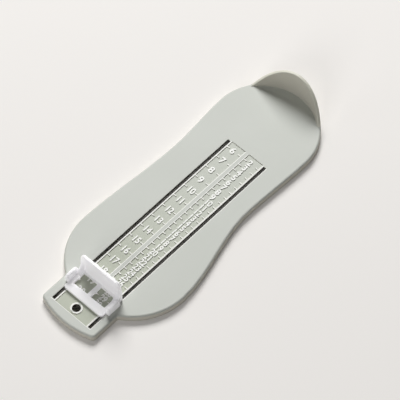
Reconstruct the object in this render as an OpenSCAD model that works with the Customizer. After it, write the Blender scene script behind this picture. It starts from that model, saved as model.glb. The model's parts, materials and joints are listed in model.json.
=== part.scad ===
// Foot measuring device: a foot-shaped board with a heel cup at one end, a raised scale between
// two long slots, and a toe slider that is snapped through the slots and stays where it is put.
//
// A reading is the distance from the inner face of the heel cup towards the tail. The board lies
// on its skirt, the heel points to +Y, and X = 0 is the middle of the scale.

/* [Sole] */
// Length of the board, from the back of the heel to the tip of the tail
sole_l = 225.4; // [180:0.2:280]
// Width across the ball of the foot
ball_w = 86.6; // [70:0.2:110]
// Width across the heel
heel_w = 73.9; // [60:0.1:92]
// How far the heel's centre lies to the left of the scale
heel_shift = 4.85; // [0:0.05:8]
// Distance from the scale to the left edge at the waist
waist_left = 38.8; // [30:0.1:48]
// Distance from the scale to the right edge at the waist
waist_right = 30.2; // [24:0.1:40]
// Reading at which the left edge is narrowest
waist_left_at = 82; // [65:1:105]
// Reading at which the right edge is narrowest
waist_right_at = 88; // [65:1:105]

/* [Tail] */
// Width of the tail
tail_w = 44.6; // [40:0.2:56]
// Length of the tail, from the ball's curve to its tip
tail_l = 25.4; // [20:0.2:40]
// Radius of the tail's slightly bowed end
tail_end_r = 60; // [40:1:120]
// Radius of the tail's corners
tail_corner_r = 3; // [2.6:0.1:8]
// Radius where the ball's curve meets the tail
neck_r = 2.5; // [1:0.1:6]

/* [Shell] */
// Height of the board's top face above the table
board_h = 5; // [4:0.1:7]
// Thickness of the top plate
plate_t = 2; // [1.5:0.1:2.6]
// Thickness of the skirt round the underside
skirt_t = 1.8; // [1.2:0.1:2.4]
// Radius of the board's rounded edge
edge_r = 1.5; // [0.8:0.1:1.6]

/* [Heel cup] */
// Height of the cup's rim above the board's top face, at the back of the heel
cup_h = 20.6; // [12:0.2:30]
// Thickness of the cup's wall
cup_t = 2.2; // [1.8:0.1:2.6]
// Radius of the rim's two corners
rim_r = 0.6; // [0.3:0.1:0.8]
// Slope at which the rim runs down to the board, from the horizontal
rim_slope = 59; // [45:1:70]
// How far the highest point of the rim is turned to the left
cup_turn = 5; // [0:1:12]
// Height over which each end of the rim flows out into the board's edge
rim_flow = 3; // [1:0.5:4]
// Radius at the foot of the cup's inner face
cup_fillet = 0.4; // [0.2:0.1:2]
// How far the inner face leans back over its height
cup_draft = 0.3; // [0.1:0.05:0.5]

/* [Slots] */
// Width of each slot
slot_w = 2.2; // [1.8:0.1:3]
// Distance between the two slots' centre lines
slot_pitch = 30.8; // [27:0.1:34]
// Reading at the slots' heel end
slot_from = 55.7; // [45:0.1:70]
// Distance from the slots' other end to the tip of the tail
slot_to_tip = 7.5; // [6:0.1:12]

/* [Scale] */
// Depth of the scale's fields below the board's top face
field_d = 0.5; // [0.3:0.1:0.8]
// Width of the rail between each slot and the nearest field
scale_rail_w = 1; // [0.6:0.1:2]
// How far the fields run past the slots at the heel end
field_past_heel = 0.5; // [0:0.1:2]
// How far the fields run past the slots at the tail end
field_past_tail = 0.4; // [0:0.1:2]
// Length of the undivided stretch at the tail end, where the hanging hole is
open_field_l = 13; // [12:0.1:16]
// Width of the divider between the fields
divider_w = 3.1; // [2:0.1:4]
// How far the divider's centre lies to the left of the scale's centre
divider_shift = 0.35; // [0:0.05:1]
// Length of a tick
tick_l = 2.2; // [1:0.1:3]
// Width of a tick
tick_w = 0.7; // [0.4:0.1:1]
// First whole centimetre on the scale
first_cm = 6; // [5:1:8]

/* [Hanging hole] */
// Radius of the hanging hole
hole_r = 2.8; // [2:0.1:4]
// Width of the raised ring round the hole
hole_ring_w = 1.2; // [0.8:0.1:2]
// Distance from the hole's centre to the tip of the tail
hole_to_tip = 12.2; // [10:0.1:16]

/* [Toe slider] */
// How far the toe wall's widest point stands out past each side rail
wall_bulge = 0.3; // [0:0.1:1]
// Height of the toe wall above the board's top face
wall_h = 19; // [14:0.2:26]
// Thickness of the toe wall
wall_t = 1.8; // [1.4:0.1:2.4]
// Radius of the toe wall's top corners
wall_corner_r = 3; // [1:0.1:5]
// Height above the board at which the toe wall is widest
wall_belly_h = 8; // [5:0.5:12]
// Radius of the toe wall's bowed ends
wall_belly_r = 40; // [30:1:80]
// Thickness of the frame that lies on the board
frame_t = 1.5; // [1:0.1:2.5]
// Length of the two windows
window_l = 9.4; // [7:0.1:13]
// Width of each side rail, which carries the feet
side_rail_w = 3.7; // [3.2:0.1:5]
// How far each side rail reaches past the outer edge of its slot
side_rail_lap = 0.3; // [0:0.1:1]
// Width of the bar between the two windows
cross_bar_w = 3; // [1.5:0.1:4]
// Length of the bar across the slider's tail end
front_bar_l = 6; // [4:0.1:9]
// How far the bar across the tail end stops short of each side rail's outer edge
front_bar_inset = 0.5; // [0:0.1:3]
// Radius of that bar's two corners
front_bar_r = 1.8; // [0.5:0.1:3]
// Radius of the hollow along the toe wall's foot, on the side of the windows
wall_foot_r = 1; // [0.5:0.1:2]
// Height of the gusset that runs up the toe wall from each side rail
gusset_h = 8.7; // [5:0.1:12]
// Length of that gusset along the side rail
gusset_l = 4.4; // [2:0.1:8]
// Size of the pointer on each window's left edge
pointer = 1; // [0.6:0.1:1.6]

/* [Thumb grips] */
// Length of each grip along the slider
grip_l = 10.2; // [7:0.1:11]
// Height of each grip above the board's top face
grip_h = 6.8; // [5:0.1:12]
// Thickness of each grip
grip_t = 2.1; // [1.6:0.1:3]
// Radius of the grip's corner nearest the toe wall
grip_front_r = 4.2; // [2:0.1:5]
// Radius of the grip's other corner
grip_back_r = 2; // [1:0.1:2.4]
// Distance from the toe wall's heel face to the grips
grip_from = 3.7; // [3:0.1:5]
// How deep each grip is let into its side rail
grip_seat = 0.2; // [0.1:0.05:0.5]

/* [Slider fit] */
// Clearance between the slider and the board on every side
slide_gap = 0.2; // [0.1:0.05:0.4]
// Free travel that is left towards the tail
parked_travel = 15.3; // [0:0.1:40]
// Distance from the toe wall's heel face to the feet in the slots
feet_from = 1.5; // [1:0.1:3]
// Length of the row of feet in each slot
feet_l = 10.9; // [9:0.1:12]
// Length of each guide foot
guide_l = 2.8; // [2:0.1:3.5]
// Gap on each side of the snap finger
finger_gap = 0.6; // [0.4:0.1:1]
// Thickness of the snap finger
finger_t = 1.1; // [0.8:0.1:1.4]
// How far the barb reaches past the slot's edge under the plate
barb_reach = 0.6; // [0.4:0.1:1]
// Height of the barb's upright edge
barb_h = 0.5; // [0.3:0.1:0.8]
// Distance from the feet's lowest point to the table
foot_clear = 1; // [0.5:0.1:1.4]

/* [Hidden] */
$fn = 64;
// Number of steps round the heel, and the distance between the points of a plain edge's top face
heel_steps = 48;
edge_step = 0.1;
// How far a cutting shape stands out past what it cuts
over = 1;

// Places along the board, as Y
heel_zero_y = sole_l / 2 - cup_t;
tail_tip_y = -sole_l / 2;
slot_heel_y = heel_zero_y - slot_from;
slot_tail_y = tail_tip_y + slot_to_tip;
hole_y = tail_tip_y + hole_to_tip;

// The heel's and the ball's circles
heel_r = heel_w / 2;
heel_c = [-heel_shift, sole_l / 2 - heel_r];
ball_r = ball_w / 2;
ball_c = [0, tail_tip_y + tail_l + sqrt(ball_r * ball_r - tail_w * tail_w / 4)];

// The scale, whose last mark is the last whole centimetre beside the divider
field_w = slot_pitch - slot_w - 2 * scale_rail_w;
field_heel_y = slot_heel_y + field_past_heel;
field_tail_y = slot_tail_y - field_past_tail;
divider_tail_y = field_tail_y + open_field_l;
last_cm = floor((heel_zero_y - divider_tail_y) / 10);
divider_left = -divider_shift - divider_w / 2;
divider_right = -divider_shift + divider_w / 2;

// The slider: the Y of the toe wall's heel face when the slider is parked, and its inner sizes
wall_y = slot_tail_y + slide_gap + parked_travel + feet_from + feet_l;
frame_z = board_h + slide_gap;
frame_l = wall_t + wall_foot_r + window_l;
frame_w = slot_pitch + slot_w + 2 * side_rail_lap;
wall_w = frame_w + 2 * wall_bulge;
windows_w = frame_w - 2 * side_rail_w;
front_bar_w = frame_w - 2 * front_bar_inset;
grip_x = frame_w / 2 - grip_seat;

// Points on an arc, from angle a0 to a1 in n steps, without the last one
function arc(c, r, a0, a1, n) = [
    for (i = [0:n - 1]) c + r * [cos(a0 + (a1 - a0) * i / n), sin(a0 + (a1 - a0) * i / n)]
];

// A smooth step from 0 to 1
function ease(t) = t * t * (3 - 2 * t);

// Half-width of one side between the heel's centre and the ball's, easing in and out of the waist
function side_at(reading, heel, waist, waist_at) =
    let (heel_at = heel_zero_y - heel_c.y, ball_at = heel_zero_y - ball_c.y)
    reading < waist_at
        ? heel + (waist - heel) * ease((reading - heel_at) / (waist_at - heel_at))
        : waist + (ball_r - waist) * ease((reading - waist_at) / (ball_at - waist_at));

// One long side, from the heel's centre to the ball's, as half-widths and heights
function long_side(heel, waist, waist_at, n) = [
    for (i = [0:n - 1])
        let (y = heel_c.y + (ball_c.y - heel_c.y) * i / n)
        [side_at(heel_zero_y - y, heel, waist, waist_at), y]
];

// The left half of the forefoot: the ball's curve, the neck, the tail's corner and half its end
function left_forefoot() =
    let (
        neck_x = -tail_w / 2 - neck_r,
        neck_c = [neck_x, ball_c.y - sqrt(pow(ball_r + neck_r, 2) - neck_x * neck_x)],
        neck_a = 180 + atan((ball_c.y - neck_c.y) / -neck_x),
        end_c = [0, tail_tip_y + tail_end_r],
        corner_x = -tail_w / 2 + tail_corner_r,
        corner_c = [corner_x, end_c.y - sqrt(pow(tail_end_r - tail_corner_r, 2) - corner_x * corner_x)],
        corner_a = 180 + atan((end_c.y - corner_c.y) / -corner_x)
    )
    concat(
        arc(ball_c, ball_r, 180, neck_a, 10),
        arc(neck_c, neck_r, neck_a - 180, 0, 4),
        [[-tail_w / 2, neck_c.y]],
        arc(corner_c, tail_corner_r, 180, corner_a, 4),
        arc(end_c, tail_end_r, corner_a, 270, 4)
    );

function mirrored(points) = [for (i = [len(points) - 1:-1:0]) [-points[i].x, points[i].y]];

// The foot outline, anticlockwise from the right of the heel
function sole_outline() =
    let (
        forefoot = left_forefoot(),
        left = long_side(heel_shift + heel_r, waist_left, waist_left_at, 13),
        right = long_side(heel_r - heel_shift, waist_right, waist_right_at, 13)
    )
    concat(
        arc(heel_c, heel_r, 0, 180, heel_steps),
        [for (p = left) [-p.x, p.y]],
        forefoot,
        [[0, tail_tip_y]],
        mirrored(forefoot),
        [for (i = [len(right) - 1:-1:1]) right[i]]
    );

// Unit vectors that point into the outline, one for each of its points
function inward(points) =
    let (n = len(points))
    [for (i = [0:n - 1])
        let (along = points[(i + 1) % n] - points[(i + n - 1) % n])
        [-along.y, along.x] / norm(along)];

// Height of the rim above the board: a sloping plane cuts the heel's wall down to the top face,
// and the rim flows out into the edge over the last stretch
function rim_rise(p) =
    let (
        back = [cos(90 + cup_turn), sin(90 + cup_turn)],
        plane = cup_h - tan(rim_slope) * (heel_r - (p - heel_c) * back)
    )
    plane > rim_flow ? plane : plane < -rim_flow ? 0 : pow(plane + rim_flow, 2) / (4 * rim_flow);

// Section through the edge, from the cavity's ceiling round the skirt, over the rounded edge or
// the rim and down the cup's inner face to the top face, as [inset, height]. Where the rim has no
// height, its inner points lie in the top face, one step apart.
function edge_section(rise) =
    let (
        cup = min(1, rise / edge_r),
        r = edge_r + (rim_r - edge_r) * cup,
        top = board_h + rise,
        fillet = min(max(rise - rim_r, 0), cup_fillet),
        inner = concat(
            [for (a = [90:-30:0]) [cup_t - rim_r + rim_r * cos(a), top - rim_r + rim_r * sin(a)]],
            [for (a = [0:45:90])
                [cup_t + cup_draft + cup_fillet * (1 - cos(a)), board_h + fillet * (1 - sin(a))]]
        )
    )
    concat(
        [[skirt_t, board_h - plate_t], [skirt_t, 0], [0, 0]],
        [for (a = [0:22.5:90]) [r - r * cos(a), top - r + r * sin(a)]],
        [for (i = [0:len(inner) - 1])
            let (plain = edge_r + (i + 1) * edge_step)
            [plain + (inner[i].x - plain) * cup, max(board_h, inner[i].y)]]
    );

// Flat cover of an outline of n points whose first is number start: a ladder of thin faces from
// the back of the heel to the tip of the tail, whose rungs join the left side to the right
function ladder(n, start, faces_up) = [
    for (j = [0:n / 2 - 1])
        let (
            l0 = start + heel_steps / 2 + j,
            l1 = l0 + 1,
            r0 = start + (n + heel_steps / 2 - j) % n,
            r1 = start + (n + heel_steps / 2 - j - 1) % n
        )
        for (face = j == 0 ? [[l0, l1, r1]] : j == n / 2 - 1 ? [[l0, l1, r0]] : [[l0, l1, r1], [l0, r1, r0]])
            faces_up ? [face[2], face[1], face[0]] : face
];

// Sole, skirt and heel cup as one skin, swept round the outline with a section that changes
module sole_shell() {
    outline = sole_outline();
    inwards = inward(outline);
    n = len(outline);
    rings = len(edge_section(0));
    points = [
        for (k = [0:rings - 1]) for (i = [0:n - 1])
            let (s = edge_section(rim_rise(outline[i]))[k], p = outline[i] + s.x * inwards[i])
            [p.x, p.y, s.y]
    ];
    sides = [
        for (k = [0:rings - 2]) for (i = [0:n - 1])
            let (a = k * n + i, b = k * n + (i + 1) % n)
            for (face = [[a, b + n, b], [a, a + n, b + n]]) face
    ];
    polyhedron(points, concat(ladder(n, 0, false), ladder(n, (rings - 1) * n, true), sides));
}

// A bar between two corners, in the plane
module bar(x0, y0, x1, y1) {
    translate([x0, y0]) square([x1 - x0, y1 - y0]);
}

// Ticks that start at x and run across by tick_l, every step millimetres from the first to the last
module ticks(x, step) {
    for (reading = [first_cm * 10:step:last_cm * 10])
        translate([x, heel_zero_y - reading - tick_w / 2]) square([tick_l, tick_w]);
}

// What is sunk into the board: both fields less the divider, the ticks and the hole's ring
module scale_fields() {
    difference() {
        bar(-field_w / 2, field_tail_y, field_w / 2, field_heel_y);
        bar(divider_left, divider_tail_y, divider_right, field_heel_y + over);
        ticks(-field_w / 2, 10);
        ticks(divider_left - tick_l, 10);
        ticks(divider_right, 5);
        ticks(field_w / 2 - tick_l, 5);
        translate([0, hole_y]) circle(r = hole_r + hole_ring_w);
    }
}

// One slot with square ends, cut right through
module slot(x) {
    translate([x - slot_w / 2, slot_tail_y, -over])
        cube([slot_w, slot_heel_y - slot_tail_y, board_h + 2 * over]);
}

module foot_board() {
    color([0.8, 0.81, 0.78]) difference() {
        sole_shell();
        slot(-slot_pitch / 2);
        slot(slot_pitch / 2);
        translate([0, 0, board_h - field_d]) linear_extrude(field_d + over) scale_fields();
        translate([0, hole_y, -over]) cylinder(r = hole_r, h = board_h + 2 * over);
    }
}

// Front view of the toe wall: bowed ends and rounded top corners, measured from the board's top
function wall_half() =
    let (
        belly_c = [wall_w / 2 - wall_belly_r, wall_belly_h],
        corner_y = wall_h - wall_corner_r,
        corner_x = belly_c.x + sqrt(pow(wall_belly_r - wall_corner_r, 2) - pow(corner_y - wall_belly_h, 2)),
        corner_a = atan((corner_y - wall_belly_h) / (corner_x - belly_c.x)),
        foot_a = asin((slide_gap - wall_belly_h) / wall_belly_r)
    )
    concat(
        arc(belly_c, wall_belly_r, foot_a, corner_a, 6),
        arc([corner_x, corner_y], wall_corner_r, corner_a, 90, 6),
        [[corner_x, wall_h]]
    );

module toe_wall() {
    half = wall_half();
    translate([0, wall_y, board_h]) rotate([90, 0, 0])
        linear_extrude(wall_t) polygon(concat(half, mirrored(half)));
}

// Plan of the frame: side rails, the bar across the tail end and two windows with their pointers
module frame_plan() {
    window_w = (windows_w - cross_bar_w) / 2;
    bar_y = wall_y - frame_l - front_bar_l;
    corner = [front_bar_w / 2 - front_bar_r, bar_y + front_bar_r];
    difference() {
        union() {
            bar(-frame_w / 2, wall_y - frame_l, frame_w / 2, wall_y);
            bar(-front_bar_w / 2, corner.y, front_bar_w / 2, wall_y - frame_l + over);
            bar(-corner.x, bar_y, corner.x, corner.y + over);
            for (x = [-corner.x, corner.x])
                translate([x, corner.y]) circle(r = front_bar_r);
        }
        for (x = [-windows_w / 2, cross_bar_w / 2])
            translate([x, wall_y - frame_l]) difference() {
                square([window_w, window_l]);
                polygon([[-over, window_l / 2 - pointer - over], [pointer, window_l / 2],
                         [-over, window_l / 2 + pointer + over]]);
            }
    }
}

// Hollow web between the toe wall and the frame, from x across by w: h high, and l long behind the
// wall, on an arc of n steps that leaves the wall's face without a step
module web(x, w, h, l, n) {
    r = (h * h + l * l) / (2 * l);
    centre = [wall_t + r, frame_t + h];
    translate([x, wall_y, frame_z]) rotate([90, 0, 90]) linear_extrude(w) mirror([1, 0])
        polygon(concat(
            arc(centre, r, 180, 180 + asin(h / r), n),
            [[wall_t + l, frame_t], [wall_t + l, 0], [0, 0], [0, centre.y]]
        ));
}

// Side view of a thumb grip, with a wide and a small rounded corner
module thumb_grip(x) {
    h = grip_h - slide_gap;
    translate([x, wall_y - grip_from, frame_z]) rotate([90, 0, 90]) linear_extrude(grip_t)
        mirror([1, 0]) polygon(concat(
            [[0, 0], [grip_l, 0]],
            arc([grip_l - grip_back_r, h - grip_back_r], grip_back_r, 0, 90, 5),
            arc([grip_front_r, h - grip_front_r], grip_front_r, 90, 180, 7),
            [[0, h - grip_front_r]]
        ));
}

// One row of feet in the right-hand slot: two guides and a snap finger with a barb under the plate
module slot_feet() {
    guide_w = slot_w - 2 * slide_gap;
    inner_x = slot_pitch / 2 - guide_w / 2;
    barb_x = slot_pitch / 2 + slot_w / 2 + barb_reach;
    barb_z = board_h - plate_t - slide_gap;
    feet_y = wall_y - feet_from;
    finger_l = feet_l - 2 * (guide_l + finger_gap);
    top_z = frame_z + frame_t;
    for (y = [feet_y - guide_l, feet_y - feet_l])
        translate([inner_x, y, foot_clear]) cube([guide_w, guide_l, top_z - foot_clear]);
    translate([0, feet_y - guide_l - finger_gap, 0]) rotate([90, 0, 0]) linear_extrude(finger_l)
        polygon([
            [inner_x, top_z], [inner_x, foot_clear], [inner_x + finger_t / 2, foot_clear],
            [barb_x, barb_z - barb_h], [barb_x, barb_z], [inner_x + finger_t, barb_z],
            [inner_x + finger_t, top_z]
        ]);
}

module toe_slider() {
    color([0.97, 0.96, 0.98]) union() {
        toe_wall();
        translate([0, 0, frame_z]) linear_extrude(frame_t) frame_plan();
        web(-windows_w / 2, windows_w, wall_foot_r, wall_foot_r, 3);
        web(windows_w / 2, side_rail_w, gusset_h, gusset_l, 8);
        web(-frame_w / 2, side_rail_w, gusset_h, gusset_l, 8);
        thumb_grip(grip_x);
        thumb_grip(-grip_x - grip_t);
        slot_feet();
        mirror([1, 0, 0]) slot_feet();
    }
}

foot_board();
toe_slider();
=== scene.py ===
"""Looks of the foot measuring device: its measuring board, its two scales and its toe slider."""

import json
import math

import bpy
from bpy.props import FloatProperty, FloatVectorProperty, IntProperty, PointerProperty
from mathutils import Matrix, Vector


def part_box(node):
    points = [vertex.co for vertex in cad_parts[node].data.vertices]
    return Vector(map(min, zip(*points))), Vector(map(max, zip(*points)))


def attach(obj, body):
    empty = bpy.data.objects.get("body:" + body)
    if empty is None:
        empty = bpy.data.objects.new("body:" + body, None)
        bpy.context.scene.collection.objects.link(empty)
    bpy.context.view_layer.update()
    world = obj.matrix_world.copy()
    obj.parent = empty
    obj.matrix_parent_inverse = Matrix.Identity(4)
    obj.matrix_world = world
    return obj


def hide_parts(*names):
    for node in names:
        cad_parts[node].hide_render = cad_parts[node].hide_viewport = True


bl_info = {
    "name": "Foot Measuring Device",
    "version": (1, 0, 0),
    "blender": (4, 5, 0),
    "location": "3D View > Sidebar > Foot Gauge",
    "description": "Finishes the board, its numbers and the toe slider, and sets up the studio",
    "category": "Object",
}

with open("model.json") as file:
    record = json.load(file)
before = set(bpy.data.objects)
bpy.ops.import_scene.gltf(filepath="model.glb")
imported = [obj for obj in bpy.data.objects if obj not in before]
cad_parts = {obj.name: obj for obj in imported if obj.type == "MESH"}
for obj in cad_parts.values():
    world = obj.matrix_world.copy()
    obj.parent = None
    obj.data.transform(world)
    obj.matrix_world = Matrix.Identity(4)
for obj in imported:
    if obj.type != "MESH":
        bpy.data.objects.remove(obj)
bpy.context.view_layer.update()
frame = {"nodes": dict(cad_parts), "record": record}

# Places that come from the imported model, in metres
board_low, board_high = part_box("foot_board")
slider_low, slider_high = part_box("toe_slider")
hole = next(m for m in frame["record"]["mounts"] if m["name"] == "hanging_hole")
BOARD_TOP = hole["pos_m"][2] + hole["dims"]["length_mm"] / 2000
HOLE_Y = hole["pos_m"][1]
HOLE_RADIUS = hole["dims"]["r_mm"] / 1000

# The construction's sizes that the numbers and the finishes follow, in metres
CUP_WALL = 0.0022
FIELD_DEPTH = 0.0005
FIELD_HALF_WIDTH = 0.0133
RAIL_WIDTH = 0.001
SLOT_WIDTH = 0.0022
SLOT_PITCH = 0.0308
DIVIDER_X = -0.00035
DIVIDER_WIDTH = 0.0031
HEEL_ZERO_Y = board_high.y - CUP_WALL
SLOT_HEEL_Y = HEEL_ZERO_Y - 0.0557
SLOT_TAIL_Y = board_low.y + 0.0075
CM = 0.01
FRAME_TOP = 0.00665
TOE_WALL = 0.0017
WEB_LENGTH = 0.0046

# Where the numbers stand: their middles across the board, with one digit and with two, how far
# past its tick a centimetre number lies, and how deep a number goes into its field's floor
CM_NUMBERS_X = (-0.0083, -0.0073)
SIZE_NUMBERS_X = (0.0062, 0.0072)
CM_NUMBERS_SHIFT = 0.0004
NUMBER_SINK = 0.00004

# Height of a digit in Blender's own font, as a share of the text's size
DIGIT_HEIGHT = 0.72

# Width of the painted highlight lines along the scale's edges
HIGHLIGHT_LINE = 0.0005

# The floor lies a hair below the board's skirt
FLOOR_SIZE = 8
FLOOR_GAP = 0.0002

# Angles at which an edge counts as sharp
DISSOLVE_ANGLE = math.radians(0.2)
SHARP_ANGLE = math.radians(38)


# Shader maths

class Value:
    """A shader socket that Python's arithmetic turns into Math nodes."""

    def __init__(self, finish, socket):
        self.finish = finish
        self.socket = socket

    def __add__(self, other):
        return self.finish.maths("ADD", self, other)

    __radd__ = __add__

    def __mul__(self, other):
        return self.finish.maths("MULTIPLY", self, other)

    __rmul__ = __mul__

    def __sub__(self, other):
        return self.finish.maths("SUBTRACT", self, other)

    def __rsub__(self, other):
        return self.finish.maths("SUBTRACT", other, self)

    def __truediv__(self, other):
        return self.finish.maths("DIVIDE", self, other)

    def __abs__(self):
        return self.finish.maths("ABSOLUTE", self)


class Finish:
    """A material that is built node by node around one Principled shader."""

    def __init__(self, name, **constants):
        self.material = bpy.data.materials.new(name)
        self.material.use_nodes = True
        self.nodes = self.material.node_tree.nodes
        self.nodes.clear()
        self.shader = self.nodes.new("ShaderNodeBsdfPrincipled")
        for socket, value in constants.items():
            self.shader.inputs[socket.replace("_", " ")].default_value = value
        self.place = self.node("ShaderNodeTexCoord", out="Object")
        self.x, self.y, self.z = (
            self.node("ShaderNodeSeparateXYZ", inputs={0: self.place}, out=axis) for axis in range(3))

    def node(self, kind, settings=None, inputs=None, out=0):
        """Adds a node, sets it up, fills or links its sockets and gives one of its outputs."""
        made = self.nodes.new(kind)
        for name, value in (settings or {}).items():
            setattr(made, name, value)
        for name, value in (inputs or {}).items():
            self.fill(made.inputs[name], value)
        return Value(self, made.outputs[out])

    def fill(self, socket, value):
        if isinstance(value, Value):
            self.material.node_tree.links.new(value.socket, socket)
        elif socket.type == "RGBA":
            socket.default_value = (*value, 1)
        else:
            socket.default_value = value

    def maths(self, operation, *values):
        return self.node("ShaderNodeMath", {"operation": operation}, dict(enumerate(values)))

    def noise(self, size, detail=2.0):
        """Noise from 0 to 1 whose features have that size, in metres."""
        return self.node("ShaderNodeTexNoise", {"noise_dimensions": "3D"},
                         {"Vector": self.place, "Scale": 1 / size, "Detail": detail}, out="Fac")

    def ramp(self, value, low, high):
        """0 below low, 1 above high and smooth between them."""
        return self.node("ShaderNodeMapRange", {"interpolation_type": "SMOOTHSTEP"},
                         {"Value": value, "From Min": low, "From Max": high})

    def band(self, value, middle, width, soft=0.00005):
        """1 where a value lies within a band round its middle, 0 elsewhere, with soft ends."""
        return 1 - self.ramp(abs(value - middle), width / 2 - soft, width / 2 + soft)

    def mix(self, share, first, second):
        """A colour between two others."""
        return self.node("ShaderNodeMix", {"data_type": "RGBA"}, {0: share, 6: first, 7: second}, out=2)

    def uprightness(self):
        """1 on faces that look up or down, 0 on upright ones."""
        normal = self.node("ShaderNodeNewGeometry", out="Normal")
        return abs(self.node("ShaderNodeSeparateXYZ", inputs={0: normal}, out=2))

    def done(self, color, roughness, *bumps):
        """Links the colour, the roughness and the bumps, given as height and depth in metres."""
        self.fill(self.shader.inputs["Base Color"], color)
        self.fill(self.shader.inputs["Roughness"], roughness)
        normal = None
        for height, depth in bumps:
            inputs = {"Height": height, "Distance": depth}
            if normal:
                inputs["Normal"] = normal
            normal = self.node("ShaderNodeBump", inputs=inputs)
        self.fill(self.shader.inputs["Normal"], normal)
        output = self.nodes.new("ShaderNodeOutputMaterial")
        self.material.node_tree.links.new(self.shader.outputs[0], output.inputs["Surface"])
        return self.material


# Settings

class StageSettings(bpy.types.PropertyGroup):
    """Camera, floor and lamps."""

    azimuth: FloatProperty(name="Azimuth", description="Turn of the camera round the object",
                           default=math.radians(43.01), subtype="ANGLE")
    elevation: FloatProperty(name="Elevation", description="Height of the camera above the horizon",
                             default=math.radians(57.49), subtype="ANGLE")
    distance: FloatProperty(name="Distance", description="From the camera to the point it looks at",
                            default=1.5, unit="LENGTH")
    lens: FloatProperty(name="Lens", description="Focal length on a 36 mm sensor",
                        default=213.83, unit="CAMERA")
    aim: FloatVectorProperty(name="Aim", description="Point in the middle of the picture",
                             default=(0.00183, HEEL_ZERO_Y - 0.10188, BOARD_TOP),
                             subtype="TRANSLATION", unit="LENGTH")
    floor_color: FloatVectorProperty(name="Floor", description="Colour of the floor",
                                     default=(0.93, 0.905, 0.875), subtype="COLOR", min=0, max=1)
    floor_glow: FloatProperty(name="Floor glow", description="Light that the floor adds where it is seen",
                              default=0.1, min=0)
    key_power: FloatProperty(name="Key lamp", description="Power of the soft lamp behind the heel",
                             default=91, unit="POWER")
    fill_power: FloatProperty(name="Fill lamp", description="Power of the lamp in front of the tail",
                              default=13.5, unit="POWER")
    side_power: FloatProperty(name="Side lamp", description="Power of the lamp at the left of the tail",
                              default=3.5, unit="POWER")
    sky: FloatProperty(name="Sky", description="Strength of the even light from all round",
                       default=0.01)


class BoardSettings(bpy.types.PropertyGroup):
    """Finish of the measuring board."""

    edge: FloatProperty(name="Edge radius", description="Radius that the mould leaves on sharp edges",
                        default=0.00015, unit="LENGTH")
    color: FloatVectorProperty(name="Plastic", description="Colour of the board",
                               default=(0.64, 0.66, 0.605), subtype="COLOR", min=0, max=1)
    field_color: FloatVectorProperty(name="Scale fields", description="Colour of the sunk fields' tail end",
                                     default=(0.53, 0.56, 0.455), subtype="COLOR", min=0, max=1)
    # Painted warm reflection on the upright faces
    side_color: FloatVectorProperty(name="Sides", description="Colour of the upright faces",
                                    default=(0.70, 0.675, 0.59), subtype="COLOR", min=0, max=1)
    # Painted highlight on the heel cup's rim
    rim_color: FloatVectorProperty(name="Rim", description="Colour of the heel cup's rim",
                                   default=(0.80, 0.79, 0.68), subtype="COLOR", min=0, max=1)
    # Painted shade inside the slots and the hole
    slot_color: FloatVectorProperty(name="Slots", description="Colour of the slots' and hole's walls",
                                    default=(0.012, 0.007, 0.005), subtype="COLOR", min=0, max=1)
    # Painted highlight colour of the rails, ticks and numbers
    rail_color: FloatVectorProperty(name="Rails", description="Colour of the rails, ticks and numbers",
                                    default=(1, 1, 0.95), subtype="COLOR", min=0, max=1)


class ScaleSettings(bpy.types.PropertyGroup):
    """Numbers of the two scales."""

    first_cm: IntProperty(name="First number", description="First centimetre that has a number",
                          default=6)
    last_cm: IntProperty(name="Last number", description="Last centimetre that has a number",
                         default=20)
    cm_height: FloatProperty(name="Centimetre numbers", description="Height of the centimetre numbers",
                             default=0.0048, unit="LENGTH")
    size_height: FloatProperty(name="Shoe size numbers", description="Height of the shoe size numbers",
                               default=0.0043, unit="LENGTH")
    squeeze: FloatProperty(name="Squeeze", description="Width of a two-digit number, as a share",
                           default=0.82, min=0.5, max=1)
    bold: FloatProperty(name="Bold", description="How far each stroke is thickened on both sides",
                        default=0.00012, unit="LENGTH")
    edge: FloatProperty(name="Edge radius", description="Radius of the numbers' edges",
                        default=0.00008, unit="LENGTH")


class SliderSettings(bpy.types.PropertyGroup):
    """Finish of the toe slider."""

    edge: FloatProperty(name="Edge radius", description="Radius that the mould leaves on sharp edges",
                        default=0.0003, unit="LENGTH")
    color: FloatVectorProperty(name="Plastic", description="Colour of the slider",
                               default=(0.765, 0.75, 0.78), subtype="COLOR", min=0, max=1)
    depth: FloatProperty(name="Depth", description="How far light passes into the white plastic",
                         default=0.006, unit="LENGTH")
    # Painted light: an emission that makes the slider glow as if light passed through its thin walls
    glow: FloatProperty(name="Glow", description="Light that has passed through the thin walls",
                        default=0.17, min=0, max=1)


class FootGaugeSettings(bpy.types.PropertyGroup):
    """All settings of the foot measuring device."""

    stage: PointerProperty(type=StageSettings)
    board: PointerProperty(type=BoardSettings)
    scales: PointerProperty(type=ScaleSettings)
    slider: PointerProperty(type=SliderSettings)


# Shared steps

def select_only(*objects):
    """Selects these objects and nothing else, and makes the last of them active."""
    bpy.ops.object.select_all(action="DESELECT")
    for thing in objects:
        thing.select_set(True)
    bpy.context.view_layer.objects.active = objects[-1]


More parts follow.
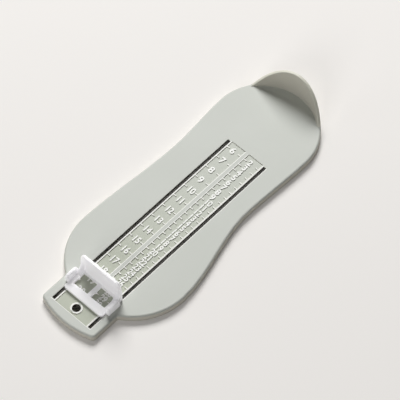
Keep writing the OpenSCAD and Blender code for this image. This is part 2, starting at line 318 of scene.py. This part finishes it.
def moulded_copy(node, name, edge, finished):
    """A merged copy of a CAD node, with the sharp edges rounded as a mould leaves them, but for
    those with an end at a place that the construction has finished already."""
    piece = bpy.data.objects.new(name, frame["nodes"][node].data.copy())
    bpy.context.scene.collection.objects.link(piece)
    select_only(piece)
    bpy.ops.mesh.customdata_custom_splitnormals_clear()
    bpy.ops.object.mode_set(mode="EDIT")
    bpy.ops.mesh.select_mode(type="EDGE")
    bpy.ops.mesh.select_all(action="SELECT")
    bpy.ops.mesh.remove_doubles(threshold=1e-6)
    bpy.ops.mesh.dissolve_limited(angle_limit=DISSOLVE_ANGLE)
    bpy.ops.mesh.select_all(action="DESELECT")
    bpy.ops.mesh.edges_select_sharp(sharpness=SHARP_ANGLE)
    bpy.ops.object.mode_set(mode="OBJECT")
    rounded = piece.data.attributes.new("bevel_weight_edge", "FLOAT", "EDGE")
    for line in piece.data.edges:
        ends = [piece.data.vertices[end].co for end in line.vertices]
        rounded.data[line.index].value = line.select and not any(map(finished, ends))
    bevel = piece.modifiers.new("mould_edges", "BEVEL")
    bevel.width = edge
    bevel.segments = 2
    bevel.limit_method = "WEIGHT"
    bevel.use_clamp_overlap = False
    bpy.ops.object.modifier_apply(modifier=bevel.name)
    bpy.ops.object.shade_smooth_by_angle(angle=SHARP_ANGLE)
    shading = piece.modifiers.new("even_shading", "WEIGHTED_NORMAL")
    shading.keep_sharp = True
    bpy.ops.object.modifier_apply(modifier=shading.name)
    return piece


def dress(piece, material):
    piece.data.materials.clear()
    piece.data.materials.append(material)


# Finishes

def board_finish(settings):
    """Satin plastic: a painted warm reflection on its upright faces and a painted highlight on its rim,
    greener in the scale's fields towards the tail, painted highlights on the raised rails, ticks and edge
    lines, and painted shade in the slots and the hole."""
    finish = Finish("board_plastic", IOR=1.49)
    x, y, z = finish.x, finish.y, finish.z
    clouds = finish.noise(0.03, 3)
    mottle = finish.noise(0.004)
    grain = finish.noise(0.0002, 3)
    upright = 1 - finish.ramp(finish.uprightness(), 0.2, 0.6)

    along_slots = finish.band(y, (SLOT_HEEL_Y + SLOT_TAIL_Y) / 2, SLOT_HEEL_Y - SLOT_TAIL_Y + 0.0005)
    in_scale = finish.band(x, 0, 2 * (FIELD_HALF_WIDTH + RAIL_WIDTH)) * along_slots
    sunk = 1 - finish.ramp(z, BOARD_TOP - 0.8 * FIELD_DEPTH, BOARD_TOP - 0.2 * FIELD_DEPTH)
    # Painted highlights: the raised rails, the ticks, the divider's two edges, a line past the slots' tail
    # end and a line along each slot's outer edge
    divider = finish.band(x, DIVIDER_X, DIVIDER_WIDTH - 2 * HIGHLIGHT_LINE)
    light = in_scale * (1 - sunk) * (1 - divider)
    slots_width = SLOT_PITCH + SLOT_WIDTH + 2 * HIGHLIGHT_LINE
    tail_highlight = finish.band(y, SLOT_TAIL_Y - HIGHLIGHT_LINE, HIGHLIGHT_LINE) * finish.band(x, 0, slots_width)
    slot_highlight = finish.band(x, (slots_width - HIGHLIGHT_LINE) / 2, HIGHLIGHT_LINE) * along_slots
    towards_tail = 1 - finish.ramp(y, -0.08, 0.04)

    # Painted shade: masks for the walls of the slots and the hole below the surface
    in_slot = finish.band(abs(x), SLOT_PITCH / 2, 1.04 * SLOT_WIDTH) * along_slots
    in_hole = 1 - finish.ramp((x * x + (y - HOLE_Y) * (y - HOLE_Y)) / HOLE_RADIUS ** 2, 1.02, 1.1)
    below = 1 - finish.ramp(z, BOARD_TOP - 2 * FIELD_DEPTH, BOARD_TOP - 0.6 * FIELD_DEPTH)

    color = finish.mix(0.12 * (clouds - 0.5) + 0.06 * (mottle - 0.5) + 0.5,
                       [c * 0.93 for c in settings.color], [min(1, c * 1.07) for c in settings.color])
    color = finish.mix(in_scale * sunk * (0.35 + 0.65 * towards_tail), color, settings.field_color)
    # Painted highlight: these raised parts and edge lines take the highlight colour
    color = finish.mix(0.8 * tail_highlight + slot_highlight + light, color, settings.rail_color)
    # Painted reflection: upright faces take a warmer colour
    color = finish.mix(upright, color, settings.side_color)
    # Painted highlight: the rim's top faces take a lighter colour
    on_rim = finish.ramp(z, BOARD_TOP, BOARD_TOP + 0.001) * (1 - upright)
    color = finish.mix(on_rim, color, settings.rim_color)
    # Painted shade: the slots' and hole's walls are darkened
    color = finish.mix((in_slot + in_hole) * below, color, settings.slot_color)
    return finish.done(color, 0.44 + 0.10 * clouds + 0.06 * grain, (grain, 0.000012), (mottle, 0.00002))


def number_finish(settings):
    """The board's plastic on the raised numbers, painted lighter as a highlight."""
    finish = Finish("number_plastic", IOR=1.49)
    blotches = finish.noise(0.002)
    grain = finish.noise(0.0002, 3)
    # Painted highlight: the numbers take the highlight colour, varied by noise blotches
    color = finish.mix(0.5 * blotches, settings.rail_color, [min(1, c * 1.05) for c in settings.rail_color])
    return finish.done(color, 0.38 + 0.1 * blotches, (grain, 0.00001))


def slider_finish(settings):
    """Glossy white plastic that lets light through its thin walls, and glows with painted light from its
    emission.
    """
    # Painted light: the emission makes the white plastic glow
    finish = Finish("slider_plastic", IOR=1.5, Subsurface_Weight=1, Subsurface_Scale=settings.depth,
                    Subsurface_Radius=(1, 1, 1), Emission_Color=(1, 0.99, 1, 1),
                    Emission_Strength=settings.glow)
    clouds = finish.noise(0.012, 3)
    grain = finish.noise(0.0003, 3)
    color = finish.mix(clouds, [c * 0.985 for c in settings.color], settings.color)
    return finish.done(color, 0.26 + 0.1 * clouds, (grain, 0.000006), (clouds, 0.00002))


def floor_finish(settings):
    """Matt pale floor, a little paler where it is seen itself or in a reflection, but not in a rectangle
    under the board, which is left darker as painted shade so that the slots and the hole look dark."""
    finish = Finish("floor_matt", IOR=1.4, Specular_IOR_Level=0.2, Emission_Strength=1)
    seen = sum(finish.node("ShaderNodeLightPath", out=f"Is {ray} Ray")
               for ray in ("Camera", "Glossy", "Transmission"))
    # Painted shade: the rectangle under the board gets no glow and shows dark through the slots and the hole
    covered = finish.band(finish.x, 0, 1.2 * SLOT_PITCH) * finish.band(
        finish.y, (SLOT_HEEL_Y + SLOT_TAIL_Y) / 2, SLOT_HEEL_Y - SLOT_TAIL_Y + CM / 2)
    glow = [settings.floor_glow * c for c in settings.floor_color]
    finish.fill(finish.shader.inputs["Emission Color"], finish.mix(seen * (1 - covered), (0, 0, 0), glow))
    clouds = finish.noise(0.2, 3)
    color = finish.mix(clouds, [c * 0.985 for c in settings.floor_color], settings.floor_color)
    return finish.done(color, 0.8 + 0.1 * clouds, (clouds, 0.0001))


# Operators

class FOOTGAUGE_OT_stage(bpy.types.Operator):
    """Sets up the camera, the floor and the lamps"""

    bl_idname = "foot_gauge.stage"
    bl_label = "Stage"

    def execute(self, context):
        settings = context.scene.foot_gauge.stage
        aim = Vector(settings.aim)
        turn, lift = settings.azimuth, settings.elevation
        back = Vector((math.sin(turn) * math.cos(lift), -math.cos(turn) * math.cos(lift), math.sin(lift)))
        bpy.ops.object.camera_add(location=aim + settings.distance * back,
                                  rotation=(math.pi / 2 - lift, 0, turn))
        camera = context.object
        camera.name = "camera"
        camera.data.lens = settings.lens
        camera.data.sensor_width = 36
        camera.data.clip_end = 100
        context.scene.camera = camera
        context.scene.view_settings.view_transform = "Standard"
        self.add_floor(settings)
        self.add_lamps(settings)
        return {"FINISHED"}

    def add_floor(self, settings):
        bpy.ops.object.select_all(action="DESELECT")
        bpy.ops.mesh.primitive_plane_add(size=FLOOR_SIZE, location=(0, 0, board_low.z - FLOOR_GAP))
        floor = bpy.context.object
        floor.name = "floor"
        dress(floor, floor_finish(settings))

    def add_lamps(self, settings):
        """One large lamp stands behind the heel, to the left, and two weak ones towards the tail."""
        self.add_lamp("key", (-1.535, 1.505, 2.09), 1.7, settings.key_power)
        self.add_lamp("fill", (0.5, -2.1, 1.2), 1.2, settings.fill_power)
        self.add_lamp("side", (-1.8, -1.6, 1.2), 1.2, settings.side_power)
        world = bpy.data.worlds.new("studio_sky")
        world.use_nodes = True
        sky = world.node_tree.nodes["Background"]
        sky.inputs["Color"].default_value = (1, 0.99, 0.98, 1)
        sky.inputs["Strength"].default_value = settings.sky
        bpy.context.scene.world = world

    def add_lamp(self, name, place, size, power):
        bpy.ops.object.light_add(type="AREA", location=place)
        lamp = bpy.context.object
        lamp.name = name
        lamp.data.shape = "DISK"
        lamp.data.size = size
        lamp.data.energy = power
        lamp.rotation_euler = Vector(place).to_track_quat("Z", "Y").to_euler()


class FOOTGAUGE_OT_board(bpy.types.Operator):
    """Finishes the measuring board with its heel cup, slots and ticks"""

    bl_idname = "foot_gauge.board"
    bl_label = "Measuring board"

    def execute(self, context):
        settings = context.scene.foot_gauge.board
        piece = moulded_copy("foot_board", "measuring_board", settings.edge,
                             lambda place: place.y > SLOT_HEEL_Y + CM / 2)
        dress(piece, board_finish(settings))
        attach(piece, "board")
        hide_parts("foot_board")
        return {"FINISHED"}


class FOOTGAUGE_OT_scales(bpy.types.Operator):
    """Moulds the raised numbers of the centimetre scale and of the shoe size scale"""

    bl_idname = "foot_gauge.scales"
    bl_label = "Numbers"

    def execute(self, context):
        settings = context.scene.foot_gauge.scales
        material = number_finish(context.scene.foot_gauge.board)
        numbers = range(settings.first_cm, settings.last_cm + 1)
        self.add_scale("centimetre_numbers", settings, material, settings.cm_height,
                       [(number, number * CM + CM_NUMBERS_SHIFT, CM_NUMBERS_X[number > 9])
                        for number in numbers])
        # A shoe size grows by one with every half centimetre and is 2 at 6 centimetres
        sizes = range(2 * settings.first_cm - 10, 2 * settings.last_cm - 10 + 1)
        self.add_scale("shoe_size_numbers", settings, material, settings.size_height,
                       [(size, (size + 10) * CM / 2, SIZE_NUMBERS_X[size > 9]) for size in sizes])
        return {"FINISHED"}

    def add_scale(self, name, settings, material, height, numbers):
        """Joins numbers, each given as what it says, its reading and its middle across the board."""
        made = [self.add_number(settings, height, *number) for number in numbers]
        select_only(*made)
        bpy.ops.object.join()
        piece = bpy.context.object
        piece.name = name
        bpy.ops.object.transform_apply(location=True, rotation=True, scale=True)
        bpy.ops.object.shade_smooth_by_angle(angle=SHARP_ANGLE)
        dress(piece, material)
        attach(piece, "board")

    def add_number(self, settings, height, number, reading, middle):
        bpy.ops.object.select_all(action="DESELECT")
        depth = FIELD_DEPTH + NUMBER_SINK
        bpy.ops.object.text_add(location=(middle, HEEL_ZERO_Y - reading, BOARD_TOP - depth / 2))
        text = bpy.context.object
        text.data.body = str(number)
        text.data.align_x = "CENTER"
        text.data.align_y = "CENTER"
        text.data.size = height / DIGIT_HEIGHT
        text.data.offset = settings.bold
        text.data.bevel_depth = settings.edge
        text.data.bevel_resolution = 1
        text.data.extrude = depth / 2 - settings.edge
        text.scale.x = settings.squeeze if number > 9 else 1
        bpy.ops.object.convert(target="MESH")
        return bpy.context.object


class FOOTGAUGE_OT_slider(bpy.types.Operator):
    """Finishes the white toe slider"""

    bl_idname = "foot_gauge.slider"
    bl_label = "Toe slider"

    def execute(self, context):
        settings = context.scene.foot_gauge.slider
        web_high = slider_high.y - TOE_WALL
        piece = moulded_copy("toe_slider", "white_slider", settings.edge,
                             lambda place: place.z < FRAME_TOP or web_high - WEB_LENGTH < place.y < web_high)
        dress(piece, slider_finish(settings))
        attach(piece, "slider")
        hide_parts("toe_slider")
        return {"FINISHED"}


class FOOTGAUGE_PT_panel(bpy.types.Panel):
    """Lists the steps and their settings"""

    bl_idname = "FOOTGAUGE_PT_panel"
    bl_label = "Foot Measuring Device"
    bl_space_type = "VIEW_3D"
    bl_region_type = "UI"
    bl_category = "Foot Gauge"

    def draw(self, context):
        settings = context.scene.foot_gauge
        for operator, group in STEPS:
            box = self.layout.box()
            box.operator(operator.bl_idname)
            for name in getattr(settings, group).__annotations__:
                box.prop(getattr(settings, group), name)


# The steps in their order, each with its group of settings
STEPS = (
    (FOOTGAUGE_OT_stage, "stage"),
    (FOOTGAUGE_OT_board, "board"),
    (FOOTGAUGE_OT_scales, "scales"),
    (FOOTGAUGE_OT_slider, "slider"),
)
CLASSES = (StageSettings, BoardSettings, ScaleSettings, SliderSettings, FootGaugeSettings,
           *(operator for operator, group in STEPS), FOOTGAUGE_PT_panel)


def register():
    for cls in CLASSES:
        bpy.utils.register_class(cls)
    bpy.types.Scene.foot_gauge = PointerProperty(type=FootGaugeSettings)


def unregister():
    del bpy.types.Scene.foot_gauge
    for cls in reversed(CLASSES):
        bpy.utils.unregister_class(cls)


def main():
    register()
    for operator, group in STEPS:
        getattr(bpy.ops.foot_gauge, operator.bl_idname.split(".")[1])()


if __name__ == "__main__":
    main()
